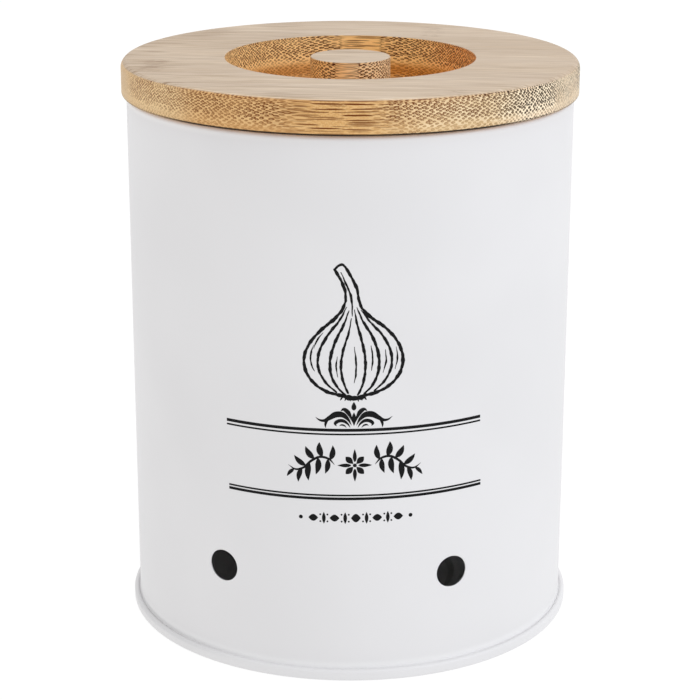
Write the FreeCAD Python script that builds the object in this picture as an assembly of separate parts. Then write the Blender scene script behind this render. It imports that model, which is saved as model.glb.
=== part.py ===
"""Garlic keeper: a seamed sheet-steel canister with air holes near its foot, closed by a bamboo plug lid.

Millimetres, +Z up. The origin is the middle of the circle that the canister stands on, and the
printed front faces -Y. Everything is built from sections turned about Z:

  can_body    rolled wall with an inward curl at the mouth, a lapped weld down its back and six air holes;
              its lower edge is hooked into the double seam
  can_bottom  pressed end: stepped and beaded panel, chuck wall, standing edge, seaming wall and cover hook
  seal_ring   silicone ring with three fins, in the groove between lid board and plug disc
  lid_board   bamboo board, stepped below, with an annular finger recess that leaves a knob standing in the middle
  lid_plug    bamboo disc glued under the board's step, which keeps the ring and centres the lid in the mouth
"""
import FreeCAD, Part
import os
from math import sin, cos, radians, sqrt, pi, hypot, atan2
from FreeCAD import Vector

os.makedirs("parts", exist_ok=True)

# ---------------------------------------------------------------- driving dimensions
SHEET = 0.45            # coated steel sheet of wall and bottom
CAN_R = 60.0            # outer radius of the wall
CAN_TOP = 145.22        # top of the mouth's curl
CURL_MID_R = 1.10       # radius of the curl, at the middle of the sheet
SEAM_H = 3.10           # height of the double seam
LAYER_GAP = 0.11        # clearance between the folded layers of the seam
STAND_CORNER_OUT = 0.80 # outer corner of the standing edge, outside
STAND_CORNER_IN = 0.70  # the same, inside
PANEL_TOP = 4.00        # inside floor of the can beside the wall
PANEL_STEP_R = 47.0     # the panel is stepped up inside this radius
PANEL_STEP = 0.90
PANEL_BEAD_R = 31.0     # a pressed ring bead
PANEL_BEAD_H = 0.80
PANEL_BEAD_W = 5.0

VENT_COUNT = 6
VENT_R = 4.3
VENT_Z = 28.0
VENT_AZ0 = -33.5        # azimuth of the first air hole from -Y towards +X, degrees

WELD_AZ = 180.0         # the side seam runs down the back
WELD_W = 1.20
WELD_PROUD = 0.10

LID_R = 61.3
LID_BOTTOM = 145.3
LID_T = 9.0             # height of the rim that shows above the can
LID_TOP_ROUND = 2.0
LID_BOTTOM_ROUND = 0.6
RECESS_R = 33.5
RECESS_DEPTH = 11.4
RECESS_ROUND = 0.35     # broken edge at the recess's rim and the knob's top
RECESS_FILLET = 1.0     # cutter radius at the recess's floor
KNOB_R = 10.75

PLUG_R = 54.5
PLUG_H = 10.0           # from the rim's underside to the plug's
PLUG_CHAMFER = 1.2
REBATE_R = 52.3         # the board's step, which is the groove's bottom
REBATE_H = 5.0

SEAL_CLEAR = 0.30       # ring to rebate across, so that the lid turns in the ring
SEAL_LIFT = 0.15        # ring to rebate, above and below
SEAL_BODY_R = 55.4
SEAL_TIP_R = 57.05
SEAL_FIN_T = 0.55
SEAL_FIN_Z = (141.60, 143.00, 144.40)

LID_TOP = LID_BOTTOM + LID_T


# ---------------------------------------------------------------- section helpers
def unit(a, b):
    d = hypot(b[0] - a[0], b[1] - a[1])
    return ((b[0] - a[0]) / d, (b[1] - a[1]) / d)


def rounded(points, radii):
    """Edges of the open path through points (r, z), each inner corner rounded by its radius."""
    n = len(points)
    edges, here = [], points[0]
    for i in range(1, n - 1):
        p, rad = points[i], radii[i]
        u, v = unit(p, points[i - 1]), unit(p, points[i + 1])
        c = max(-1.0, min(1.0, u[0] * v[0] + u[1] * v[1]))
        if rad <= 1e-9 or abs(c + 1) < 1e-12:
            edges.append((here, p))
            here = p
            continue
        half_tan = sqrt((1 - c) / (1 + c)) if c > -1 else 1e9   # tan(interior/2)
        cut = rad / half_tan
        a = (p[0] + u[0] * cut, p[1] + u[1] * cut)
        b = (p[0] + v[0] * cut, p[1] + v[1] * cut)
        w = (u[0] + v[0], u[1] + v[1])
        wl = hypot(*w)
        reach = hypot(cut, rad) - rad
        m = (p[0] + w[0] / wl * reach, p[1] + w[1] / wl * reach)
        if hypot(a[0] - here[0], a[1] - here[1]) > 1e-6:
            edges.append((here, a))
        edges.append((a, m, b))
        here = b
    if hypot(points[-1][0] - here[0], points[-1][1] - here[1]) > 1e-6:
        edges.append((here, points[-1]))
    return edges


def as_edges(items):
    out = []
    for e in items:
        v = [Vector(p[0], 0, p[1]) for p in e]
        out.append(Part.LineSegment(v[0], v[1]).toShape() if len(v) == 2 else Part.Arc(v[0], v[1], v[2]).toShape())
    return out


def side(points, radii, shift):
    """The path moved sideways by shift (to its left), corner radii kept concentric."""
    n = len(points)
    dirs = [unit(points[i], points[i + 1]) for i in range(n - 1)]
    normals = [(-d[1], d[0]) for d in dirs]
    pts, rads = [], []
    for i in range(n):
        if i in (0, n - 1):
            nn = normals[0] if i == 0 else normals[-1]
            pts.append((points[i][0] + nn[0] * shift, points[i][1] + nn[1] * shift))
            rads.append(0)
            continue
        d0, d1, n0, n1 = dirs[i - 1], dirs[i], normals[i - 1], normals[i]
        cross = d0[0] * d1[1] - d0[1] * d1[0]
        a = (points[i][0] + n0[0] * shift, points[i][1] + n0[1] * shift)
        b = (points[i][0] + n1[0] * shift, points[i][1] + n1[1] * shift)
        t = ((b[0] - a[0]) * d1[1] - (b[1] - a[1]) * d1[0]) / cross
        pts.append((a[0] + d0[0] * t, a[1] + d0[1] * t))
        turn = 1 if cross > 0 else -1                      # a left turn shrinks the left side's corner
        rads.append(max(0.0, radii[i] - turn * shift))
    return pts, rads


def turned(face):
    solid = face.revolve(Vector(0, 0, 0), Vector(0, 0, 1), 360)
    solid = solid.Solids[0] if solid.Solids else Part.Solid(solid.Shells[0])
    if solid.Volume < 0:
        solid.reverse()
    return solid


def sheet_turned(points, radii, t=SHEET):
    """A sheet whose middle follows the rounded path, turned about Z."""
    lp, lr = side(points, radii, t / 2)
    rp, rr = side(points, radii, -t / 2)
    left, right = rounded(lp, lr), rounded(rp, rr)
    back = [tuple(reversed(e)) for e in reversed(right)]
    caps = [(left[-1][-1], back[0][0]), (back[-1][-1], left[0][0])]
    wire = Part.Wire(Part.__sortEdges__(as_edges(left + [caps[0]] + back + [caps[1]])))
    return turned(Part.Face(wire))


def closed_turned(points, radii):
    """A closed section with rounded corners, turned about Z. points[0] must have radius 0."""
    items = rounded(points + [points[0]], radii + [0])
    wire = Part.Wire(Part.__sortEdges__(as_edges(items)))
    return turned(Part.Face(wire))


def radial(az, r, z):
    a = radians(az)
    return Vector(r * sin(a), -r * cos(a), z)


def save(shape, name):
    solids = shape.Solids
    assert solids and all(s.isValid() and s.Volume > 0 for s in solids), name
    out = solids[0] if len(solids) == 1 else Part.makeCompound(solids)
    out.exportStep("parts/%s.step" % name)
    b = out.BoundBox
    print("%-11s solids %d  volume %.0f mm3  z %.2f..%.2f  r %.2f" % (name, len(solids), sum(s.Volume for s in solids), b.ZMin, b.ZMax, b.XMax))


# ---------------------------------------------------------------- double seam: where the five layers lie
h = SHEET / 2
wall_mid = CAN_R - h
hook_cover_mid = CAN_R + LAYER_GAP + h                       # cover hook, against the wall
hook_body_mid = hook_cover_mid + SHEET + LAYER_GAP           # body hook
seaming_mid = hook_body_mid + SHEET + LAYER_GAP              # outermost layer
chuck_mid = CAN_R - SHEET - LAYER_GAP - h                    # chuck wall, inside the can
fold_r = (SHEET + 2 * LAYER_GAP) / 2 + h                     # mid radius of both folds
body_fold_low = SHEET + LAYER_GAP + h                        # middle of the body's fold
cover_fold_high = SEAM_H - h
assert abs(hook_body_mid - wall_mid - 2 * fold_r) < 1e-6
assert abs(seaming_mid - hook_cover_mid - 2 * fold_r) < 1e-6

# ---------------------------------------------------------------- can body
curl_in = wall_mid - 2 * CURL_MID_R
curl_hi = CAN_TOP - h
curl_lo = curl_hi - 2 * CURL_MID_R
body_hook_end = cover_fold_high - fold_r + 0.05
path = [
    (wall_mid - 0.55, curl_lo),
    (curl_in, curl_lo),
    (curl_in, curl_hi),
    (wall_mid, curl_hi),
    (wall_mid, body_fold_low),
    (hook_body_mid, body_fold_low),
    (hook_body_mid, body_hook_end),
]
can_body = sheet_turned(path, [0, CURL_MID_R, CURL_MID_R, CURL_MID_R, fold_r, fold_r, 0])

# lapped weld down the back, a little proud of the wall
half_angle = WELD_W / 2 / CAN_R
weld_lo, weld_hi = SEAM_H + 0.6, curl_hi - CURL_MID_R - 0.4
weld = Part.makeCylinder(CAN_R + WELD_PROUD, weld_hi - weld_lo, Vector(0, 0, weld_lo)).cut(
    Part.makeCylinder(CAN_R - SHEET / 2, weld_hi - weld_lo, Vector(0, 0, weld_lo)))
keep = Part.makeBox(WELD_W, 4.0, weld_hi - weld_lo, Vector(-WELD_W / 2, CAN_R - 3.0, weld_lo))
weld = weld.common(keep)
weld.rotate(Vector(0, 0, 0), Vector(0, 0, 1), WELD_AZ - 180.0)
can_body = can_body.fuse(weld)

for k in range(VENT_COUNT):
    az = VENT_AZ0 + 360.0 / VENT_COUNT * k
    d = radial(az, 1.0, 0)
    can_body = can_body.cut(Part.makeCylinder(VENT_R, 14.0, radial(az, CAN_R - 7.0, VENT_Z), d))
save(can_body, "can_body")

# ---------------------------------------------------------------- can bottom
panel = PANEL_TOP - h
high = panel + PANEL_STEP
bead = high + PANEL_BEAD_H
bw = PANEL_BEAD_W / 2
path = [
    (0.0, high),
    (PANEL_BEAD_R - bw, high),
    (PANEL_BEAD_R - bw + 1.6, bead),
    (PANEL_BEAD_R + bw - 1.6, bead),
    (PANEL_BEAD_R + bw, high),
    (PANEL_STEP_R, high),
    (PANEL_STEP_R + 1.6, panel),
    (chuck_mid, panel),
    (chuck_mid, h),
    (seaming_mid, h),
    (seaming_mid, cover_fold_high),
    (hook_cover_mid, cover_fold_high),
    (hook_cover_mid, body_fold_low + fold_r - 0.05),
]
can_bottom = sheet_turned(path, [0, 1.5, 0.9, 0.9, 1.5, 1.5, 1.5, 1.2, STAND_CORNER_IN - h, STAND_CORNER_OUT - h, fold_r, fold_r, 0])
save(can_bottom, "can_bottom")

# ---------------------------------------------------------------- bamboo lid board, with the recess and its knob
floor = LID_TOP - RECESS_DEPTH
board_lo = LID_BOTTOM - REBATE_H
lid_board = closed_turned(
    [
        (0.0, board_lo),
        (REBATE_R, board_lo),
        (REBATE_R, LID_BOTTOM),
        (LID_R, LID_BOTTOM),
        (LID_R, LID_TOP),
        (RECESS_R, LID_TOP),
        (RECESS_R, floor),
        (KNOB_R, floor),
        (KNOB_R, LID_TOP),
        (0.0, LID_TOP),
    ],
    [0, 0, 0, LID_BOTTOM_ROUND, LID_TOP_ROUND, RECESS_ROUND, RECESS_FILLET, RECESS_FILLET, RECESS_ROUND, 0],
)
save(lid_board, "lid_board")

# ---------------------------------------------------------------- bamboo disc under its step
plug_lo = LID_BOTTOM - PLUG_H
lid_plug = closed_turned(
    [
        (0.0, plug_lo),
        (PLUG_R - PLUG_CHAMFER, plug_lo),
        (PLUG_R, plug_lo + PLUG_CHAMFER),
        (PLUG_R, board_lo),
        (0.0, board_lo),
    ],
    [0, 0.4, 0.4, 0.3, 0],
)
save(lid_plug, "lid_plug")

# ---------------------------------------------------------------- silicone ring with three fins
lo = board_lo + SEAL_LIFT
hi = LID_BOTTOM - SEAL_LIFT
inner = REBATE_R + SEAL_CLEAR
f = SEAL_FIN_T / 2
points = [(inner, (lo + hi) / 2), (inner, lo), (SEAL_BODY_R, lo)]
radii = [0, 0.3, 0.3]
for z in SEAL_FIN_Z:
    points += [(SEAL_BODY_R, z - f - 0.12), (SEAL_TIP_R, z - f), (SEAL_TIP_R, z + f), (SEAL_BODY_R, z + f + 0.12)]
    radii += [0.06, 0.18, 0.18, 0.06]
points += [(SEAL_BODY_R, hi), (inner, hi)]
radii += [0.2, 0.3]
seal_ring = closed_turned(points, radii)
save(seal_ring, "seal_ring")
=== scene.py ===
"""Looks of the garlic keeper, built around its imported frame. Metres, +Z up, the printed front faces -Y."""
import math
import random
from math import sin, cos, pi, radians, degrees, sqrt, hypot, atan2, asin

import bmesh
import bpy
import numpy as np
from mathutils import Matrix, Vector


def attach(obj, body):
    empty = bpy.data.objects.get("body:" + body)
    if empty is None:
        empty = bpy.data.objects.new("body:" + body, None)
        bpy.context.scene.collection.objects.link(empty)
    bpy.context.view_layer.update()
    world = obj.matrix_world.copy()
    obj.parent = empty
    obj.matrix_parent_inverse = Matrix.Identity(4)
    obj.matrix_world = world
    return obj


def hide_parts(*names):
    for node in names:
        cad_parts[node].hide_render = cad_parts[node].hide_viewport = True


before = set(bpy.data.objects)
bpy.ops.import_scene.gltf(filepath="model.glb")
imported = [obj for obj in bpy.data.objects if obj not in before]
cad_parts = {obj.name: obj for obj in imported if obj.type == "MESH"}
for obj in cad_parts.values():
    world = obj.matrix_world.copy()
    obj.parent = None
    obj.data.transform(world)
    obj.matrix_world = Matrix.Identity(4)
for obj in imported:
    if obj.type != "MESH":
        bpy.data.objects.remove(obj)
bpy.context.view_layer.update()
scene = bpy.context.scene
MM = 0.001

# ------------------------------------------------------------------ sizes, in millimetres, as the CAD has them
SHEET = 0.45
CAN_R = 60.0
CAN_TOP = 145.22
CURL_MID_R = 1.10
SEAM_H = 3.10
LAYER_GAP = 0.11
STAND_CORNER_OUT, STAND_CORNER_IN = 0.80, 0.70
PANEL_TOP, PANEL_STEP_R, PANEL_STEP = 4.00, 47.0, 0.90
PANEL_BEAD_R, PANEL_BEAD_H, PANEL_BEAD_W = 31.0, 0.80, 5.0
VENT_COUNT, VENT_R, VENT_Z, VENT_AZ0 = 6, 4.3, 28.0, -33.5
WELD_W, WELD_PROUD = 1.20, 0.10
LID_R, LID_BOTTOM, LID_T = 61.3, 145.3, 9.0
LID_TOP = LID_BOTTOM + LID_T
LID_TOP_ROUND, LID_BOTTOM_ROUND = 2.0, 0.6
RECESS_R, RECESS_DEPTH, RECESS_ROUND, RECESS_FILLET, KNOB_R = 33.5, 11.4, 0.35, 1.0, 10.75
PLUG_R, PLUG_H, PLUG_CHAMFER, REBATE_R, REBATE_H = 54.5, 10.0, 1.2, 52.3, 5.0
SEAL_CLEAR, SEAL_LIFT, SEAL_BODY_R, SEAL_TIP_R, SEAL_FIN_T = 0.30, 0.15, 55.4, 57.05, 0.55
SEAL_FIN_Z = (141.60, 143.00, 144.40)


# ------------------------------------------------------------------ sections
def unit(a, b):
    d = hypot(b[0] - a[0], b[1] - a[1])
    return ((b[0] - a[0]) / d, (b[1] - a[1]) / d)


def rounded(points, radii, step=11.25):
    """Points of the open path, each inner corner rounded by its radius."""
    out = [points[0]]
    for i in range(1, len(points) - 1):
        p, rad = points[i], radii[i]
        u, v = unit(p, points[i - 1]), unit(p, points[i + 1])
        c = max(-1.0, min(1.0, u[0] * v[0] + u[1] * v[1]))
        if rad <= 1e-9 or c < -1 + 1e-12:
            out.append(p)
            continue
        cut = rad / sqrt((1 - c) / (1 + c))
        a = (p[0] + u[0] * cut, p[1] + u[1] * cut)
        w = (u[0] + v[0], u[1] + v[1])
        wl = hypot(*w)
        m = (p[0] + w[0] / wl * hypot(cut, rad), p[1] + w[1] / wl * hypot(cut, rad))
        turn = pi - math.acos(c)
        n = max(2, int(round(degrees(turn) / step)))
        a0 = atan2(a[1] - m[1], a[0] - m[0])
        cross = u[0] * v[1] - u[1] * v[0]
        sign = 1 if cross < 0 else -1
        for k in range(n + 1):
            t = a0 + sign * turn * k / n
            out.append((m[0] + rad * cos(t), m[1] + rad * sin(t)))
    out.append(points[-1])
    return tidy(out)


def tidy(points, eps=1e-5):
    out = [points[0]]
    for p in points[1:]:
        if hypot(p[0] - out[-1][0], p[1] - out[-1][1]) > eps:
            out.append(p)
    return out


def side(points, radii, shift):
    """The path moved to its left by shift, corner radii kept concentric."""
    n = len(points)
    dirs = [unit(points[i], points[i + 1]) for i in range(n - 1)]
    normals = [(-d[1], d[0]) for d in dirs]
    pts, rads = [], []
    for i in range(n):
        if i in (0, n - 1):
            nn = normals[0] if i == 0 else normals[-1]
            pts.append((points[i][0] + nn[0] * shift, points[i][1] + nn[1] * shift))
            rads.append(0)
            continue
        d0, d1, n0, n1 = dirs[i - 1], dirs[i], normals[i - 1], normals[i]
        cross = d0[0] * d1[1] - d0[1] * d1[0]
        a = (points[i][0] + n0[0] * shift, points[i][1] + n0[1] * shift)
        b = (points[i][0] + n1[0] * shift, points[i][1] + n1[1] * shift)
        t = ((b[0] - a[0]) * d1[1] - (b[1] - a[1]) * d1[0]) / cross
        pts.append((a[0] + d0[0] * t, a[1] + d0[1] * t))
        rads.append(max(0.0, radii[i] - (1 if cross > 0 else -1) * shift))
    return pts, rads


def sheet_loop(points, radii, t=SHEET):
    """Closed outline of a sheet whose middle follows the rounded path. An end on the axis stays open there."""
    left = rounded(*side(points, radii, t / 2))
    right = rounded(*side(points, radii, -t / 2))
    return left, right


def divide(points, longest, closed=False):
    """The outline with long straight runs split, so that no face is a sliver."""
    out = []
    n = len(points)
    for i in range(n if closed else n - 1):
        a, b = points[i], points[(i + 1) % n]
        k = max(1, int(math.ceil(hypot(b[0] - a[0], b[1] - a[1]) / longest)))
        out += [(a[0] + (b[0] - a[0]) * j / k, a[1] + (b[1] - a[1]) * j / k) for j in range(k)]
    if not closed:
        out.append(points[-1])
    return out


# ------------------------------------------------------------------ meshes
def make(name, verts, faces, body, slot, sharp=35.0, nodes=()):
    """An object from millimetre vertices, smooth but for edges sharper than the angle."""
    mesh = bpy.data.meshes.new(name)
    mesh.from_pydata([(x * MM, y * MM, z * MM) for x, y, z in verts], [], faces)
    mesh.validate()
    bm = bmesh.new()
    bm.from_mesh(mesh)
    bmesh.ops.remove_doubles(bm, verts=bm.verts, dist=1e-8)
    bmesh.ops.recalc_face_normals(bm, faces=bm.faces)
    if bm.calc_volume(signed=True) < 0:
        bmesh.ops.reverse_faces(bm, faces=bm.faces)
    bm.to_mesh(mesh)
    bm.free()
    mesh.shade_smooth()
    mesh.set_sharp_from_angle(angle=radians(sharp))
    obj = bpy.data.objects.new(name, mesh)
    scene.collection.objects.link(obj)
    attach(obj, body)
    if nodes:
        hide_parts(*nodes)
    return obj


def turned(outline, segments, closed):
    """Vertices and faces of an outline (r, z) turned about Z. Points on the axis become one vertex."""
    verts, rows = [], []
    for r, z in outline:
        if r < 1e-6:
            rows.append([len(verts)] * segments)
            verts.append((0.0, 0.0, z))
            continue
        rows.append(list(range(len(verts), len(verts) + segments)))
        verts += [(r * cos(2 * pi * k / segments), r * sin(2 * pi * k / segments), z) for k in range(segments)]
    faces = []
    n = len(rows)
    for i in range(n if closed else n - 1):
        a, b = rows[i], rows[(i + 1) % n]
        for k in range(segments):
            q = [a[k], a[(k + 1) % segments], b[(k + 1) % segments], b[k]]
            q = [v for j, v in enumerate(q) if v not in q[:j]]
            if len(q) > 2:
                faces.append(q)
    return verts, faces


# ---- bamboo board with its recess and knob
recess_floor = LID_TOP - RECESS_DEPTH
board_low = LID_BOTTOM - REBATE_H
board_outline = divide(rounded(
    [(0.0, board_low), (REBATE_R, board_low), (REBATE_R, LID_BOTTOM), (LID_R, LID_BOTTOM), (LID_R, LID_TOP), (RECESS_R, LID_TOP),
     (RECESS_R, recess_floor), (KNOB_R, recess_floor), (KNOB_R, LID_TOP), (0.0, LID_TOP)],
    [0, 0, 0, LID_BOTTOM_ROUND, LID_TOP_ROUND, RECESS_ROUND, RECESS_FILLET, RECESS_FILLET, RECESS_ROUND, 0]), 3.0)
lid_board = make("lid_board_milled", *turned(board_outline, 288, False), "lid", "bamboo", 40, ["lid_board"])

# ---- bamboo disc under the board's step
plug_low = LID_BOTTOM - PLUG_H
plug_outline = divide(rounded(
    [(0.0, plug_low), (PLUG_R - PLUG_CHAMFER, plug_low), (PLUG_R, plug_low + PLUG_CHAMFER), (PLUG_R, board_low), (0.0, board_low)],
    [0, 0.4, 0.4, 0.3, 0]), 3.0)
lid_plug = make("lid_plug_turned", *turned(plug_outline, 240, False), "lid", "bamboo", 40, ["lid_plug"])

# ---- silicone ring
lo, hi = board_low + SEAL_LIFT, LID_BOTTOM - SEAL_LIFT
inner, f = REBATE_R + SEAL_CLEAR, SEAL_FIN_T / 2
seal_points, seal_radii = [(inner, (lo + hi) / 2), (inner, lo), (SEAL_BODY_R, lo)], [0, 0.3, 0.3]
for z in SEAL_FIN_Z:
    seal_points += [(SEAL_BODY_R, z - f - 0.12), (SEAL_TIP_R, z - f), (SEAL_TIP_R, z + f), (SEAL_BODY_R, z + f + 0.12)]
    seal_radii += [0.06, 0.18, 0.18, 0.06]
seal_points += [(SEAL_BODY_R, hi), (inner, hi)]
seal_radii += [0.2, 0.3]
seal_outline = rounded(seal_points + [seal_points[0]], seal_radii + [0], 22.5)[:-1]
seal_ring = make("seal_ring_moulded", *turned(seal_outline, 240, True), "seal", "silicone", 50, ["seal_ring"])

# ---- can bottom: the pressed end with its part of the double seam
h = SHEET / 2
wall_mid = CAN_R - h
hook_cover_mid = CAN_R + LAYER_GAP + h
hook_body_mid = hook_cover_mid + SHEET + LAYER_GAP
seaming_mid = hook_body_mid + SHEET + LAYER_GAP
chuck_mid = CAN_R - SHEET - LAYER_GAP - h
fold_r = (SHEET + 2 * LAYER_GAP) / 2 + h
body_fold_low = SHEET + LAYER_GAP + h
cover_fold_high = SEAM_H - h
panel = PANEL_TOP - h
high = panel + PANEL_STEP
bead = high + PANEL_BEAD_H
bw = PANEL_BEAD_W / 2
end_path = [
    (0.0, high), (PANEL_BEAD_R - bw, high), (PANEL_BEAD_R - bw + 1.6, bead), (PANEL_BEAD_R + bw - 1.6, bead), (PANEL_BEAD_R + bw, high),
    (PANEL_STEP_R, high), (PANEL_STEP_R + 1.6, panel), (chuck_mid, panel), (chuck_mid, h), (seaming_mid, h),
    (seaming_mid, cover_fold_high), (hook_cover_mid, cover_fold_high), (hook_cover_mid, body_fold_low + fold_r - 0.05)]
end_radii = [0, 1.5, 0.9, 0.9, 1.5, 1.5, 1.5, 1.2, STAND_CORNER_IN - h, STAND_CORNER_OUT - h, fold_r, fold_r, 0]
left, right = sheet_loop(end_path, end_radii)
end_outline = divide(left + right[::-1], 4.0)
can_bottom = make("can_bottom_pressed", *turned(end_outline, 288, False), "can", "white_paint", 40, ["can_bottom"])

# ---- can body: the rolled wall with its curl, weld and air holes
curl_in = wall_mid - 2 * CURL_MID_R
curl_hi = CAN_TOP - h
curl_lo = curl_hi - 2 * CURL_MID_R
body_path = [
    (wall_mid - 0.55, curl_lo), (curl_in, curl_lo), (curl_in, curl_hi), (wall_mid, curl_hi), (wall_mid, body_fold_low),
    (hook_body_mid, body_fold_low), (hook_body_mid, cover_fold_high - fold_r + 0.05)]
left, right = sheet_loop(body_path, [0, CURL_MID_R, CURL_MID_R, CURL_MID_R, fold_r, fold_r, 0])
WALL_IN, WALL_OUT = CAN_R - SHEET, CAN_R
PATCH = 6                                   # half the cells of the square round each air hole
patch_half = CAN_R * radians(PATCH)
patch_rows = [VENT_Z - patch_half + 2 * patch_half * k / (2 * PATCH) for k in range(2 * PATCH + 1)]


def with_rows(points, radius):
    """The outline with the rows of the hole's square added on its long run at that radius."""
    out = []
    for a, b in zip(points, points[1:] + [None]):
        out.append(a)
        if b and abs(a[0] - radius) < 1e-6 and abs(b[0] - radius) < 1e-6 and abs(a[1] - b[1]) > 100:
            rows = [z for z in patch_rows]
            low, top = min(a[1], b[1]), max(a[1], b[1])
            rows += [low + (patch_rows[0] - low) * k / 3 for k in (1, 2)]
            n = 12
            rows += [patch_rows[-1] + (top - patch_rows[-1]) * k / n for k in range(1, n)]
            run = [(radius, z) for z in rows]
            if radius == WALL_OUT:
                run += GROOVE_COAT
            run.sort(key=lambda q: q[1], reverse=a[1] > b[1])
            out += run
    return out


# the coat runs into the groove between the wall and the rounded top of the double seam
GROOVE_COAT = [(WALL_OUT, 3.36), (WALL_OUT + 0.018, 3.19), (WALL_OUT + 0.065, 3.05), (WALL_OUT + 0.140, 2.95),
               (WALL_OUT + 0.235, 2.88), (WALL_OUT + 0.285, 2.86), (WALL_OUT + 0.235, 2.79), (WALL_OUT + 0.185, 2.71),
               (WALL_OUT + 0.110, 2.60), (WALL_OUT, 2.50)]
outer_side = left if any(abs(p[0] - WALL_OUT) < 1e-6 for p in left) else right
inner_side = right if outer_side is left else left
outer_pts = with_rows(outer_side, WALL_OUT)
inner_pts = with_rows(inner_side, WALL_IN)
loop = outer_pts + inner_pts[::-1]

angles = [VENT_AZ0 + k for k in range(360)]                           # degrees from -Y towards +X
extra = [180 - 0.72, 180 - 0.60, 180 - 0.43, 180 + 0.43, 180 + 0.60, 180 + 0.72]
angles = sorted(angles + extra)
cols = len(angles)
weld_low, weld_high = SEAM_H + 0.6, curl_hi - CURL_MID_R - 0.4


def proud(az, z):
    """How far the lapped weld stands out of the wall there."""
    s = abs(az - 180.0) * pi / 180 * CAN_R
    across = 1.0 if s < WELD_W / 2 - 0.14 else max(0.0, (WELD_W / 2 + 0.14 - s) / 0.28)
    along = min(1.0, max(0.0, (z - weld_low) / 0.5)) * min(1.0, max(0.0, (weld_high - z) / 0.5))
    return WELD_PROUD * 0.5 * (1 - cos(pi * across)) * along


verts, grid = [], []
for i, (r, z) in enumerate(loop):
    row = []
    for az in angles:
        rr = r + (proud(az, z) if abs(r - WALL_OUT) < 1e-6 and i < len(outer_pts) else 0.0)
        a = radians(az)
        row.append(len(verts))
        verts.append((rr * sin(a), -rr * cos(a), z))
    grid.append(row)

centres = [VENT_AZ0 + 60 * k for k in range(VENT_COUNT)]


def is_wall(i, radius):
    return abs(loop[i][0] - radius) < 1e-6


row_of = {}
for i, (r, z) in enumerate(loop):
    for which, radius in (("out", WALL_OUT), ("in", WALL_IN)):
        if abs(r - radius) < 1e-6:
            for j, zz in enumerate(patch_rows):
                if abs(z - zz) < 1e-6:
                    row_of[which, j] = i
col_of = {round((a - VENT_AZ0) % 360, 3): k for k, a in enumerate(angles)}


def column(az):
    return col_of[round((az - VENT_AZ0) % 360, 3)]


skip = set()
for which in ("out", "in"):
    for j in range(2 * PATCH):
        i0, i1 = sorted((row_of[which, j], row_of[which, j + 1]))
        for c in centres:
            for k in range(-PATCH, PATCH):
                skip.add((i0, column(c + k)))
faces = []
n = len(grid)
for i in range(n):
    for k in range(cols):
        if (i, k) in skip:
            continue
        a, b = grid[i], grid[(i + 1) % n]
        faces.append([a[k], a[(k + 1) % cols], b[(k + 1) % cols], b[k]])

EDGE = 0.11                                  # softened edge of the punched and coated hole
square = [(-PATCH + k, -PATCH) for k in range(2 * PATCH)] + [(PATCH, -PATCH + k) for k in range(2 * PATCH)] \
    + [(PATCH - k, PATCH) for k in range(2 * PATCH)] + [(-PATCH, PATCH - k) for k in range(2 * PATCH)]
for c in centres:
    rings = []
    fr = []
    for cu, cv in square:
        fr.append((CAN_R * sin(radians(cu)), patch_half * cv / PATCH))
    turn = [atan2(v, u) for u, v in fr]

    def place(u, v, radius):
        a = radians(c)
        y = -sqrt(max(0.0, radius * radius - u * u))
        return (u * cos(a) - y * sin(a), u * sin(a) + y * cos(a), VENT_Z + v)

    def ring(points, radius):
        out = []
        for u, v in points:
            out.append(len(verts))
            verts.append(place(u, v, radius))
        return out

    rings.append([grid[row_of["out", cv + PATCH]][column(c + cu)] for cu, cv in square])
    shares = [0.72, 0.50, 0.32, 0.18, 0.08]
    rim = VENT_R + EDGE
    for s in shares:
        rings.append(ring([(rim * cos(t) * (1 - s) + u * s, rim * sin(t) * (1 - s) + v * s) for t, (u, v) in zip(turn, fr)], WALL_OUT))
    for k in range(5):
        q = pi / 2 * k / 4
        rr = VENT_R + EDGE * (1 - sin(q))
        rings.append(ring([(rr * cos(t), rr * sin(t)) for t in turn], WALL_OUT - EDGE * (1 - cos(q))))
    for k in range(5):
        q = pi / 2 * (4 - k) / 4
        rr = VENT_R + EDGE * (1 - sin(q))
        rings.append(ring([(rr * cos(t), rr * sin(t)) for t in turn], WALL_IN + EDGE * (1 - cos(q))))
    fi = [(WALL_IN * sin(radians(cu)), patch_half * cv / PATCH) for cu, cv in square]
    for s in reversed(shares):
        rings.append(ring([(rim * cos(t) * (1 - s) + u * s, rim * sin(t) * (1 - s) + v * s) for t, (u, v) in zip(turn, fi)], WALL_IN))
    rings.append([grid[row_of["in", cv + PATCH]][column(c + cu)] for cu, cv in square])
    m = len(square)
    for a, b in zip(rings, rings[1:]):
        for k in range(m):
            faces.append([a[k], a[(k + 1) % m], b[(k + 1) % m], b[k]])
can_body = make("can_body_rolled", verts, faces, "can", "white_paint", 40, ["can_body"])


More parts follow.
